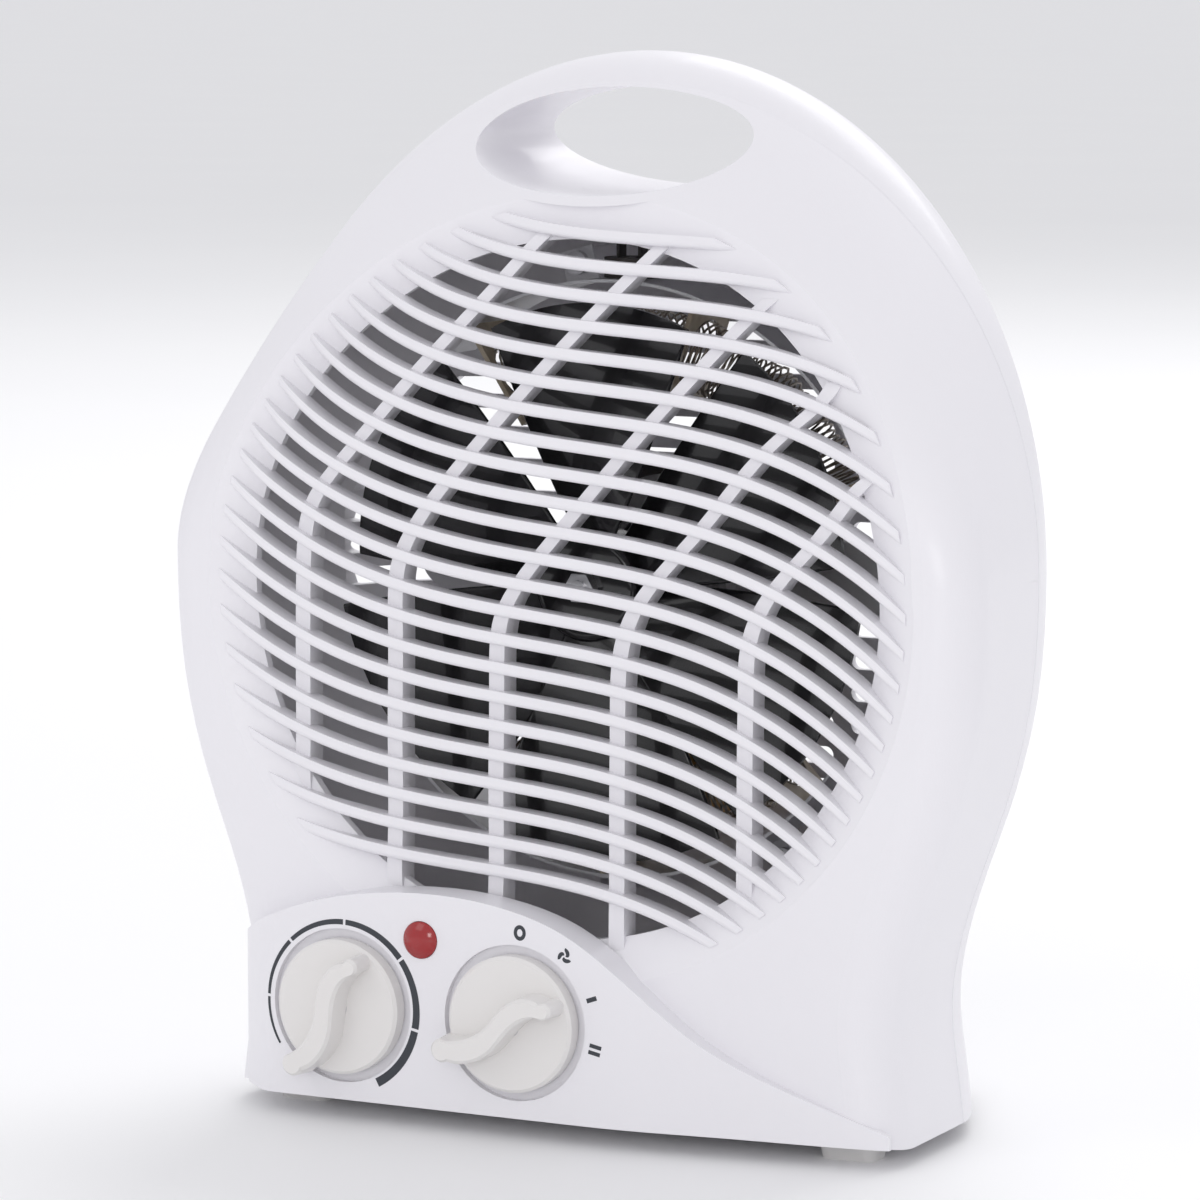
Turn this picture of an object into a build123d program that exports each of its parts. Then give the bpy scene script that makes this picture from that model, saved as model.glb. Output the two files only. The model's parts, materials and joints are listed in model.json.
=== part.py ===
from build123d import *
import math
import os

# Fan convector heater.  Millimetres, +Z up, -Y is the front (grille and knobs), +X is the right-hand side
# seen from the front.  The origin is the bottom centre of the bounding box, at the level the feet stand on.

# ---------------------------------------------------------------- housing: driving sizes
half_width = 111.5          # half the greatest width, at the height of the arch centre
arch_z = 140.0              # height of the widest level, where the arch begins
arch_rise = 126.5           # from the widest level to the top of the handle
waist_half = 90.0           # half width at the waist above the base
waist_z = 40.0
base_half = 93.0            # half width at the foot of the housing
foot_height = 4.5           # clear height of the housing above the ground
wall = 2.5                  # thickness of every shell wall

knob_front_y = -59.0        # foremost point: the knob grips
face_y = -41.0              # front face of the housing round the grille
seam_y = 1.0                # joint between the two housing shells
rear_y = 57.0               # flat back of the housing
gland_proud = 2.0           # how far the cord gland stands out behind the housing

shoulder_r = 12.0           # rounding between the front face and the side wall
lean_r = 125.0              # radius with which the front face leans back towards the handle
lean_start = 25.0           # height above the arch centre at which it begins to lean
bottom_round = 3.0          # rounding under the front edge of the base
seam_bevel = 0.5            # bevel that draws the line between the shells

# rear shell, from the seam back: (distance behind the seam, narrowing each side, rise above the arch centre)
rear_stations = [
    (0.6, 0.0, 119.0),
    (6.0, 0.9, 123.8),
    (14.0, 3.6, 126.5),
    (24.0, 8.0, 123.4),
    (35.0, 13.0, 113.0),
    (46.0, 19.0, 97.0),
    (54.0, 26.0, 84.0),
    (rear_y - seam_y, 34.0, 75.0),
]

# ---------------------------------------------------------------- grille: driving sizes
ring_z = 135.0              # centre of the round grille
dish_r = 97.0               # outer edge of the shallow dish round the opening
opening_r = 86.0            # clear round opening
dish_depth = 5.0            # depth of the dish at the opening
slat_top = 82.5             # height of the highest slat above the arch centre, on the centre line
slat_pitch = 7.22
slat_count = 23
slat_thick = 3.2
slat_depth = 6.5
slat_end_depth = 4.2        # depth of a slat where it crosses the dish and runs into the housing
slat_reach = 94.5           # radius at which the slats end, just above the floor of the dish
slat_recess = 0.8           # front edge of a slat behind the face
slat_edge_r = 1.3
bar_width = 4.2             # upright bars behind the slats
bar_recess = 3.6
bar_depth = 6.4
bar_slope = 0.9             # sideways run for each millimetre of height, above the bend
bar_bend_r = 6.0
bars = [(-72.0, 13.0), (-45.5, 5.0), (-17.0, -9.0), (16.5, -12.0), (51.0, -9.0)]   # (x, height of the bend)

# ---------------------------------------------------------------- handle
handle_half = 38.0          # half length of the finger hole
handle_low = 231.5          # lowest and highest level of the finger hole
handle_high = 257.8
handle_wall = 2.5

# ---------------------------------------------------------------- control panel
panel_proud = 8.0           # how far the control panel stands in front of the face
panel_wall = 2.5
knob_z = 29.5
thermostat_x = -54.4
selector_x = -5.7
knob_d = 34.0
well_d = 39.0
well_depth = 2.0
knob_gap = 0.6              # between a knob and the floor of its well
disc_front = 3.0            # front of the knob disc ahead of the panel
shaft_r = 3.0
shaft_gap = 0.3             # round a control shaft where it passes the panel
bush_gap = 0.05             # running clearance of a control shaft in its bush
control_screw_x = 13.5      # control fixing screws, each side of the shaft
control_head_depth = 1.6
plate_thick = 1.2           # mounting plates of the controls, against the back of the panel
plate_half = 17.0
plate_half_z = 9.0
lamp_x = -32.0
lamp_z = 48.0
lamp_r = 4.65
lamp_gap = 0.1

# ---------------------------------------------------------------- fan, motor and heater
fan_r = 70.0
fan_front_y = -20.5         # front of the blades
fan_depth = 10.0
fan_blades = 6
hub_r = 14.0
axle_r = 2.0
axle_gap = 0.05
coil_y = 4.0                # middle plane of the heating coils
coil_major = 59.0
coil_minor = 9.5
coil_slot_gap = 0.4
board_thick = 1.2
board_half_depth = 11.5
stack_front_y = 26.0        # front of the motor's laminated stack
stack_depth = 14.0
stack_half = 28.0           # half the width of the stack
limb_drop = 30.0            # how far the wound limb hangs below the stack
rotor_r = 13.5
rotor_gap = 0.5
bush_r = 5.0
bush_length = 7.0
bracket_thick = 1.5
bracket_reach = 6.0         # from the stack to a bearing bracket
post_r = 3.6
screw_r = 1.6
screw_head_r = 3.0
head_gap = 0.2
strap_half = 72.0           # half length of the motor strap
guide_thick = 0.8


# ================================================================ shared shapes
def lean_rise(depth):
    """Rise of the front shell above the arch centre, at a depth behind the face."""
    return lean_start + math.sqrt(max(0.0, 2 * lean_r * depth - depth * depth))


def shoulder_inset(depth):
    """How far the rounded shoulder stands inside the side wall, at a depth behind the face."""
    if depth >= shoulder_r:
        return 0.0
    return shoulder_r - math.sqrt(2 * shoulder_r * depth - depth * depth)


def face_depth(x, rise):
    """Depth of the outer front surface behind the face plane, at a place above the arch centre."""
    if rise <= 0:
        return 0.0
    near = 0.0
    far = seam_y - face_y + 20
    for _ in range(40):
        middle = (near + far) / 2
        across = half_width - shoulder_inset(middle)
        if (x / across) ** 2 + (rise / lean_rise(middle)) ** 2 > 1:
            near = middle
        else:
            far = middle
    return far


def face_at(x, z):
    """Y of the outer front surface."""
    return face_y + face_depth(x, z - arch_z)


def at_y(y):
    """Upright working plane at Y, facing the front: its own x is X and its own y is Z."""
    return Plane.XZ.offset(-y)


def housing_section(y, inset, rise, skin, lift):
    """Draw one closed cross-section of the housing at Y, `skin` inside the outer surface."""
    side = half_width - inset - skin
    narrow = half_width - waist_half
    spread = half_width - base_half
    bottom = foot_height + skin + lift
    height = arch_z - foot_height
    with BuildSketch(at_y(y)) as section:
        with BuildLine():
            EllipticalCenterArc((0, arch_z), side, rise - skin, start_angle=0, arc_size=180)
            for sign in (-1, 1):
                Spline(
                    (sign * side, arch_z),
                    (sign * (side - 0.13 * narrow), arch_z - 0.26 * height),
                    (sign * (side - 0.44 * narrow), arch_z - 0.44 * height),
                    (sign * (side - 0.78 * narrow), arch_z - 0.59 * height),
                    (sign * (side - narrow), waist_z),
                    (sign * (side - spread), bottom),
                    tangents=((0, -1), (sign * 0.12, -1)),
                )
            Line((-(side - spread), bottom), (side - spread, bottom))
        make_face()
    return section.sketch


def front_volume(skin):
    """Solid volume of the front shell, `skin` inside its outer surface."""
    depth_all = seam_y - face_y
    curved = [shoulder_r * (1 - math.cos(math.radians(turn))) for turn in (0, 14, 28, 42, 56, 70, 82)]
    flat = [shoulder_r + (depth_all - shoulder_r) * share for share in (0.08, 0.24, 0.43, 0.62, 0.81, 1.0)]
    with BuildPart() as volume:
        for depth in curved + flat:
            past = 1.0 if skin > 0 and depth == flat[-1] else 0.0
            inset = shoulder_inset(depth)
            place = face_y + skin + depth * (depth_all - skin) / depth_all + past
            add(housing_section(place, inset, lean_rise(depth), skin, bottom_round * inset / shoulder_r))
        loft()
    return volume.part


def rear_volume(skin):
    """Solid volume of the rear shell, `skin` inside its outer surface."""
    length = rear_y - seam_y
    with BuildPart() as volume:
        for back, inset, rise in rear_stations:
            place = seam_y + back * (length - skin) / length
            if skin > 0 and back == rear_stations[0][0]:
                place = seam_y - 1
            add(housing_section(place, inset, rise, skin, 0.0))
        loft()
    return volume.part


def handle_prism(grow):
    """The finger hole's prism through the whole depth of the housing, `grow` larger all round."""
    with BuildPart() as prism:
        with BuildSketch(at_y(face_y - 1)):
            with Locations((0, (handle_low + handle_high) / 2)):
                Ellipse(handle_half + grow, (handle_high - handle_low) / 2 + grow)
        extrude(amount=-(rear_y - face_y + 2))
    return prism.part


def slat_rise(x, middle):
    """Rise of a slat's centre line above the arch centre at x; `middle` is its rise at x = 0."""
    stretch = 1 + 2.25e-4 * x + 2.7e-5 * x * x
    return middle * stretch - 0.1034 * x - 1.3e-4 * x * x - 3.15e-5 * x ** 3


def bar_x(foot_x, bend, rise):
    """x of an upright bar's centre line at a rise above the arch centre."""
    over = rise - bend
    return foot_x + bar_slope / 2 * (over + math.hypot(over, bar_bend_r))


def span_inside(place, start, stop, radius, step=0.5):
    """First and last parameter between start and stop for which place(t) lies inside the round grille."""
    inside = []
    t = start
    while t <= stop:
        x, rise = place(t)
        if math.hypot(x, rise + arch_z - ring_z) < radius:
            inside.append(t)
        t += step
    return inside[0], inside[-1]


def slat_section(x, z):
    """Cross-section of a slat in the plane across X, with a rounded front edge."""
    front = face_at(x, z) + slat_recess
    across = math.hypot(x, z - ring_z) > opening_r - 1
    back = front + (slat_end_depth if across else slat_depth)
    half = slat_thick / 2
    with BuildSketch(Plane((x, 0, 0), x_dir=(0, 1, 0), z_dir=(1, 0, 0))) as section:
        with BuildLine():
            Polyline(
                (back, z - half * 0.8),
                (front, z - half),
                (front, z + half),
                (back, z + half * 0.8),
                close=True,
            )
        make_face()
        fillet(section.vertices().group_by(Axis.Y)[0], radius=slat_edge_r)
    return section.sketch


def slat(middle):
    """One slat, following the curved face from one side of the dish to the other."""
    first, last = span_inside(lambda t: (t, slat_rise(t, middle)), -dish_r, dish_r, dish_r - 1.0)
    steps = max(4, round((last - first) / 16))
    with BuildPart() as part:
        for step in range(steps + 1):
            x = first + (last - first) * step / steps
            add(slat_section(x, arch_z + slat_rise(x, middle)))
        loft()
    return part.part


def bar(foot_x, bend):
    """One upright bar behind the slats."""
    reach = opening_r + 4.0
    low, high = span_inside(lambda t: (bar_x(foot_x, bend, t), t), -dish_r, dish_r, reach)
    steps = 10
    with BuildPart() as part:
        for step in range(steps + 1):
            rise = low + (high - low) * step / steps
            x = bar_x(foot_x, bend, rise)
            front = face_at(x, arch_z + rise) + bar_recess
            with BuildSketch(Plane.XY.offset(arch_z + rise)):
                with Locations((x, front + bar_depth / 2)):
                    Rectangle(bar_width, bar_depth)
        loft()
    return part.part


def dish_half(start):
    """Half of the space that the shallow dish takes away, from the angle `start` over half a turn."""
    steps = 12
    inner = opening_r - 3
    outer = dish_r + 0.6
    with BuildPart() as part:
        for step in range(steps + 1):
            angle = math.radians(start + 180 * step / steps)
            along = (math.cos(angle), 0, math.sin(angle))
            centre = (0, 0, ring_z)
            with BuildSketch(Plane(centre, x_dir=along, z_dir=(-math.sin(angle), 0, math.cos(angle)))):
                with BuildLine():
                    points = []
                    for radius in (outer, inner):
                        x = radius * math.cos(angle)
                        z = ring_z + radius * math.sin(angle)
                        sunk = dish_depth * (dish_r - radius) / (dish_r - opening_r)
                        points.append((radius, face_at(x, z) + sunk))
                    Polyline(points[0], points[1], (inner, face_y - 1), (outer, face_y - 1), close=True)
                make_face()
        loft()
    return part.part


def ring_prism(radius):
    """Round prism on the grille's axis through the front shell."""
    with BuildPart() as prism:
        with BuildSketch(at_y(face_y - 1)):
            with Locations((0, ring_z)):
                Circle(radius)
        extrude(amount=-(seam_y - face_y))
    return prism.part


def cylinder_y(x, z, radius, start, end):
    """Round bar along Y from `start` to `end`, centred at (x, z)."""
    with BuildPart() as part:
        with BuildSketch(at_y(end)):
            with Locations((x, z)):
                Circle(radius)
        extrude(amount=end - start)
    return part.part


def box_between(low, high):
    """Rectangular block between two corners."""
    with BuildPart() as part:
        with Locations(tuple((a + b) / 2 for a, b in zip(low, high))):
            Box(high[0] - low[0], high[1] - low[1], high[2] - low[2])
    return part.part


# ================================================================ places worked out from the driving sizes
panel_y = face_y - panel_proud                      # front of the control panel
well_floor_y = panel_y + well_depth
panel_back_y = well_floor_y + panel_wall            # inner face of the panel behind the knobs
disc_front_y = panel_y - disc_front
disc_back_y = well_floor_y - knob_gap
ring_backing = dish_depth + wall                    # thickness of the shell round the opening
floor_z = foot_height + wall
lamp_back_y = face_y + ring_backing                 # back of the panel behind the lamp
knobs = {"thermostat": thermostat_x, "selector": selector_x}

# posts that join the two shells: (x, z, how far the front post reaches forward of the seam)
front_depth = seam_y - face_y - wall / 2
joint_posts = [
    (-79.0, 20.0, front_depth),
    (79.0, 20.0, front_depth),
    (-66.0, 222.0, 16.0),
    (66.0, 222.0, 16.0),
]


# ================================================================ front housing with its grille
def panel_block():
    """The raised swoosh that carries the controls."""
    flat_left = thermostat_x - well_d / 2
    flat_right = selector_x + well_d / 2
    low = foot_height + 1.0
    with BuildPart() as block:
        with BuildSketch(at_y(face_y + wall)):
            with BuildLine():
                Spline(
                    (-half_width + 23.5, 44.0),
                    (-62.0, 55.5),
                    (-37.0, 59.5),
                    (-10.0, 58.0),
                    (7.0, 53.0),
                    (28.0, 39.0),
                    (44.0, 27.5),
                    (71.0, 16.2),
                    (half_width - 20.5, 9.0),
                )
                Polyline(
                    (half_width - 20.5, 9.0),
                    (half_width - 20.5, low),
                    (-half_width + 23.5, low),
                    (-half_width + 23.5, 44.0),
                )
            make_face()
        extrude(amount=panel_proud + wall)
        with BuildSketch(Plane.XY):
            with BuildLine():
                Spline(
                    (-half_width + 22.5, face_y + 5.5),
                    (-82.0, face_y - 0.5 * panel_proud),
                    (flat_left, panel_y),
                    tangents=((0.2, -1), (1, 0)),
                )
                Line((flat_left, panel_y), (flat_right, panel_y))
                Spline(
                    (flat_right, panel_y),
                    (50.0, face_y - 0.52 * panel_proud),
                    (half_width - 19.5, face_y + 1.5),
                    tangents=((1, 0), (1, 0.25)),
                )
                Polyline(
                    (half_width - 19.5, face_y + 1.5),
                    (half_width - 19.5, face_y + 8),
                    (-half_width + 22.5, face_y + 8),
                    (-half_width + 22.5, face_y + 5.5),
                )
            make_face()
        extrude(amount=arch_z, mode=Mode.INTERSECT)
    return block.part


outer_front = front_volume(0)
with BuildPart() as front_housing:
    add(outer_front)
    add(front_volume(wall), mode=Mode.SUBTRACT)
    # thicker shell round the opening, then the shallow dish and the round opening itself
    add((ring_prism(dish_r + wall) & outer_front) - Pos(0, ring_backing, 0) * outer_front)
    add(dish_half(0), mode=Mode.SUBTRACT)
    add(dish_half(180), mode=Mode.SUBTRACT)
    add(ring_prism(opening_r), mode=Mode.SUBTRACT)
    # control panel with its wells, lamp hole and hollow back
    add(panel_block())
    pocket_low = (thermostat_x - plate_half - 1, panel_back_y, knob_z - plate_half_z - 4)
    pocket_high = (selector_x + plate_half + 1, face_y + ring_backing + 0.1, knob_z + plate_half_z + 5)
    add(box_between(pocket_low, pocket_high), mode=Mode.SUBTRACT)
    for x in knobs.values():
        add(cylinder_y(x, knob_z, well_d / 2, panel_y - 1, well_floor_y), mode=Mode.SUBTRACT)
        add(cylinder_y(x, knob_z, shaft_r + shaft_gap, panel_y - 1, panel_back_y + 1), mode=Mode.SUBTRACT)
        for side in (-1, 1):
            hole = x + side * control_screw_x
            head_end = well_floor_y + control_head_depth
            add(cylinder_y(hole, knob_z, screw_r, panel_y, panel_back_y + 1), mode=Mode.SUBTRACT)
            add(cylinder_y(hole, knob_z, screw_head_r + head_gap, panel_y, head_end), mode=Mode.SUBTRACT)
    add(cylinder_y(lamp_x, lamp_z, lamp_r + lamp_gap, panel_y - 1, lamp_back_y + 1), mode=Mode.SUBTRACT)
    # handle wall and finger hole
    add((handle_prism(handle_wall) & outer_front))
    add(handle_prism(0), mode=Mode.SUBTRACT)
    # posts for the housing screws
    for x, z, reach in joint_posts:
        add(cylinder_y(x, z, post_r, seam_y - reach, seam_y) & outer_front)
        add(cylinder_y(x, z, screw_r, seam_y - 12, seam_y), mode=Mode.SUBTRACT)
front_housing.part.label = "front_housing"

with BuildPart() as front_grille:
    add([slat(slat_top - number * slat_pitch) for number in range(slat_count)])
    add([bar(foot_x, bend) for foot_x, bend in bars])
    add(ring_prism(slat_reach), mode=Mode.INTERSECT)
    add(front_housing.part, mode=Mode.SUBTRACT)
front_grille.part.label = "front_grille"

# ================================================================ rear housing
fan_axis = Axis((0, 0, ring_z), (0, 1, 0))
stack_back_y = stack_front_y + stack_depth
strap_y = stack_front_y - bracket_thick              # front face of the motor strap
back_inner_y = rear_y - wall
guide_r = coil_major + coil_minor + 6.0              # inner radius of the heater guides
guide_front_y = coil_y - board_half_depth
guide_back_y = coil_y + board_half_depth
guide_spans = {"upper": (12.0, 133.0), "lower": (-148.0, -37.0)}
coil_spans = {"upper": (20.0, 125.0), "lower": (-140.0, -45.0)}
guide_post_r = guide_r + 6.0
guide_posts = {"upper": (45.0, 105.0), "lower": (-118.0, -62.0)}
gland_x = 34.0
gland_z = 20.0
gland_bore_r = 3.5
gland_r = 6.0
motor_post_x = strap_half - 6.0
slot_height = 4.6
slot_pitch = 8.4
slot_rows = 15
slot_columns = [(-99.0, -38.0), (-33.0, 33.0), (38.0, 99.0)]
slot_front_y = 30.0


def round_place(radius, angle):
    """(x, z) at a radius and an angle round the fan's axis."""
    turn = math.radians(angle)
    return radius * math.cos(turn), ring_z + radius * math.sin(turn)


def intake_slots():
    """All the intake slots, as one set of rounded bars through the back of the housing."""
    with BuildPart() as slots:
        with BuildSketch(at_y(rear_y + 1)):
            for low, high in slot_columns:
                with Locations(((low + high) / 2, ring_z)):
                    with GridLocations(1, slot_pitch, 1, slot_rows):
                        SlotOverall(high - low, slot_height)
        extrude(amount=rear_y + 1 - slot_front_y)
        with BuildSketch(at_y(rear_y + 1)):
            with Locations((0, ring_z)):
                Ellipse(half_width - 12.5, 68.0)
        extrude(amount=rear_y + 1 - slot_front_y, mode=Mode.INTERSECT)
    return slots.part


def seam_ring():
    """Thin bevelled start of the rear shell, which draws the line between the shells."""
    first = rear_stations[0]
    with BuildPart() as ring:
        add(housing_section(seam_y, seam_bevel, first[2] - seam_bevel, 0, seam_bevel))
        add(housing_section(seam_y + first[0], first[1], first[2], 0, 0))
        loft(ruled=True)
    return ring.part


outer_rear = rear_volume(0) + seam_ring()
with BuildPart() as rear_housing:
    add(outer_rear)
    add(rear_volume(wall), mode=Mode.SUBTRACT)
    add(intake_slots(), mode=Mode.SUBTRACT)
    add(handle_prism(handle_wall) & outer_rear)
    add(handle_prism(0), mode=Mode.SUBTRACT)
    # posts under the housing screws, with the screw holes right through the back
    for x, z, reach in joint_posts:
        add(cylinder_y(x, z, post_r + wall, seam_y, rear_y) & outer_rear)
        add(cylinder_y(x, z, screw_r, seam_y - 1, rear_y + 1), mode=Mode.SUBTRACT)
        add(cylinder_y(x, z, screw_head_r + head_gap, seam_y + 8, rear_y + 1), mode=Mode.SUBTRACT)
    # posts that carry the motor strap and the heater guides
    for side in (-1, 1):
        add(cylinder_y(side * motor_post_x, ring_z, post_r, strap_y + bracket_thick, back_inner_y + 1))
        add(cylinder_y(side * motor_post_x, ring_z, screw_r, strap_y - 1, strap_y + 12), mode=Mode.SUBTRACT)
    for angles in guide_posts.values():
        for angle in angles:
            x, z = round_place(guide_post_r, angle)
            post_end = guide_back_y + guide_thick
            add(cylinder_y(x, z, post_r, post_end, rear_y) & outer_rear)
            add(cylinder_y(x, z, screw_r, post_end - 1, post_end + 10), mode=Mode.SUBTRACT)
    add(cylinder_y(gland_x, gland_z, gland_r, back_inner_y - 1, rear_y + 1), mode=Mode.SUBTRACT)
rear_housing.part.label = "rear_housing"

# ================================================================ control knobs, their shafts and bodies
grip_half = 3.4             # half thickness of a knob's grip
grip_sway = 3.0             # how far the wave of the grip swings to each side
grip_over = 1.6             # how far the blunt end of the grip stands over the edge of the disc
body_front_y = panel_back_y
shaft_back_y = {"thermostat": -35.0, "selector": -31.0}
body_r = {"thermostat": 11.0, "selector": 11.5}
body_length = {"thermostat": 10.0, "selector": 14.0}
knob_rest = {"thermostat": 54.0, "selector": 20.0}   # angle of the pointing end at rest


def grip_point(along, side, shrink):
    """Point on a long edge of the wavy grip; `along` runs from -1 at the blunt end to 1 at the pointing end."""
    reach = knob_d / 2 - shrink + (grip_over if along < 0 else -1.6)
    sway = grip_sway * math.sin(math.pi * along)
    thick = (grip_half - shrink) * (1 - 0.4 * max(along, 0.0) ** 2)
    return along * reach, sway + side * thick


def grip_outline(plane, shrink):
    """Closed wavy outline of the grip on a plane, `shrink` smaller all round."""
    steps = [-0.9, -0.6, -0.2, 0.2, 0.6, 0.9]
    with BuildSketch(plane) as outline:
        with BuildLine():
            upper = Spline([grip_point(t, 1, shrink) for t in steps])
            lower = Spline([grip_point(t, -1, shrink) for t in steps])
            ThreePointArc(upper @ 0, grip_point(-1.06, 0, shrink), lower @ 0)
            ThreePointArc(upper @ 1, grip_point(1.04, 0, shrink), lower @ 1)
        make_face()
    return outline.sketch


def knob(centre_x, angle):
    """A round control knob with a wave-shaped grip across its face."""
    with BuildPart() as part:
        add(cylinder_y(centre_x, knob_z, knob_d / 2, disc_front_y, disc_back_y))
        chamfer(part.edges().filter_by(GeomType.CIRCLE).group_by(Axis.Y)[0], 0.8)
        pointing = (math.cos(math.radians(angle)), 0, math.sin(math.radians(angle)))
        turned = Plane((centre_x, disc_front_y + 0.5, knob_z), x_dir=pointing, z_dir=(0, -1, 0))
        height = disc_front_y + 0.5 - knob_front_y
        add(grip_outline(turned, 0.0))
        add(grip_outline(turned.offset(height - 0.8), 0.45))
        add(grip_outline(turned.offset(height), 1.2))
        loft(ruled=True)
        add(cylinder_y(centre_x, knob_z, shaft_r, disc_front_y, disc_back_y), mode=Mode.SUBTRACT)
    return part.part


finished = {
    "front_housing": front_housing.part,
    "front_grille": front_grille.part,
    "rear_housing": rear_housing.part,
}
for name, centre_x in knobs.items():
    finished[f"{name}_knob"] = knob(centre_x, knob_rest[name])
    finished[f"{name}_shaft"] = cylinder_y(centre_x, knob_z, shaft_r, disc_front_y, shaft_back_y[name])
    with BuildPart() as body:
        add(box_between(
            (centre_x - plate_half, body_front_y, knob_z - plate_half_z),
            (centre_x + plate_half, body_front_y + plate_thick, knob_z + plate_half_z),
        ))
        start = body_front_y + plate_thick
        add(cylinder_y(centre_x, knob_z, body_r[name], start, start + body_length[name]))
        for tab in (-1, 0, 1):
            add(box_between(
                (centre_x + tab * 7 - 2, start + body_length[name], knob_z - 0.4),
                (centre_x + tab * 7 + 2, start + body_length[name] + 7, knob_z + 0.4),
            ))
        bore_end = shaft_back_y[name] + 0.5
        add(cylinder_y(centre_x, knob_z, shaft_r + bush_gap, body_front_y - 1, bore_end), mode=Mode.SUBTRACT)
        for side in (-1, 1):
            hole_x = centre_x + side * control_screw_x
            add(cylinder_y(hole_x, knob_z, screw_r, body_front_y - 1, start + 1), mode=Mode.SUBTRACT)
    finished[f"{name}_body"] = body.part


def screw(x, z, head_y, tip_y, head_length, toward=1):
    """A pan-head screw along Y: its head ends at head_y and its shank runs on to tip_y."""
    head_start = head_y - toward * head_length
    low = min(head_start, head_y)
    body = cylinder_y(x, z, screw_head_r, low, low + head_length)
    shank = cylinder_y(x, z, screw_r - 0.02, min(head_y, tip_y), max(head_y, tip_y))
    return body + shank


def group(pieces):
    """Several separate solids as one piece."""
    return Compound(children=[solid for piece in pieces for solid in piece.solids()])


control_head_end = well_floor_y + control_head_depth
finished["control_screws"] = group(
    screw(x + side * control_screw_x, knob_z, control_head_end, panel_back_y + 6, control_head_depth - 0.2)
    for x in knobs.values()
    for side in (-1, 1)
)

# ================================================================ indicator lamp
lamp_dome = 1.8             # how far the lens stands in front of the panel
lamp_flange = 1.2
with BuildPart() as lamp_lens:
    with BuildSketch(Plane.XY.offset(lamp_z)):
        with BuildLine():
            dome_y = panel_y - lamp_dome
            edge_y = panel_y - 0.3
            back_y = lamp_back_y
            ThreePointArc(
                (lamp_x, dome_y), (lamp_x + lamp_r * 0.62, dome_y + (edge_y - dome_y) * 0.3), (lamp_x + lamp_r, edge_y)
            )
            Polyline((lamp_x + lamp_r, edge_y), (lamp_x + lamp_r, back_y), (lamp_x, back_y), (lamp_x, dome_y))
        make_face()
    revolve(axis=Axis((lamp_x, 0, lamp_z), (0, 1, 0)))
    add(cylinder_y(lamp_x, lamp_z, lamp_r - 1.2, panel_y + 2, back_y + 1), mode=Mode.SUBTRACT)
finished["lamp_lens"] = lamp_lens.part
with BuildPart() as lamp_bulb:
    add(cylinder_y(lamp_x, lamp_z, 2.6, panel_y + 2.5, back_y + 6))
    fillet(lamp_bulb.edges().filter_by(GeomType.CIRCLE).group_by(Axis.Y)[0], 1.5)
finished["lamp_bulb"] = lamp_bulb.part
with BuildPart() as lamp_socket:
    add(cylinder_y(lamp_x, lamp_z, lamp_r + 1.5, back_y, back_y + 9))
    add(cylinder_y(lamp_x, lamp_z, 2.6, back_y - 1, back_y + 6), mode=Mode.SUBTRACT)
finished["lamp_socket"] = lamp_socket.part

# ================================================================ fan
blade_thick = 1.4
fan_middle_y = fan_front_y + fan_depth / 2
hub_front_y = fan_front_y - 2.0
hub_back_y = fan_front_y + fan_depth + 1.0
blade_stations = [(hub_r - 3, 15.0, 30.0), (0.55 * fan_r, 41.0, 13.0), (fan_r + 2, 66.0, 8.0)]   # (radius, chord, pitch)


def fan_blade(angle):
    """One broad blade, lofted from the hub outwards and cut round at the rim."""
    with BuildPart() as part:
        for radius, chord, pitch in blade_stations:
            x, z = round_place(radius, angle)
            turn = math.radians(angle)
            tilt = math.radians(pitch)
            chord_way = (-math.sin(turn) * math.cos(tilt), math.sin(tilt), math.cos(turn) * math.cos(tilt))
            outward = (math.cos(turn), 0, math.sin(turn))
            with BuildSketch(Plane((x, fan_middle_y, z), x_dir=chord_way, z_dir=outward)):
                RectangleRounded(chord, blade_thick, blade_thick * 0.45)
        loft()
        add(cylinder_y(0, ring_z, fan_r, fan_front_y - 5, fan_front_y + fan_depth + 5), mode=Mode.INTERSECT)
    return part.part


with BuildPart() as fan_impeller:
    add(cylinder_y(0, ring_z, hub_r, hub_front_y, hub_back_y))
    fillet(fan_impeller.edges().filter_by(GeomType.CIRCLE).group_by(Axis.Y)[0], 2.0)
    add([fan_blade(32 + 360 / fan_blades * number) for number in range(fan_blades)])
    add(cylinder_y(0, ring_z, axle_r, hub_front_y - 1, hub_back_y + 1), mode=Mode.SUBTRACT)
finished["fan_impeller"] = fan_impeller.part

nut_half = 4.0
nut_thick = 3.0
with BuildPart() as fan_nut:
    with BuildSketch(at_y(hub_front_y)):
        with Locations((0, ring_z)):
            RegularPolygon(nut_half, 6)
            Circle(axle_r, mode=Mode.SUBTRACT)
    extrude(amount=nut_thick)
finished["fan_nut"] = fan_nut.part

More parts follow.
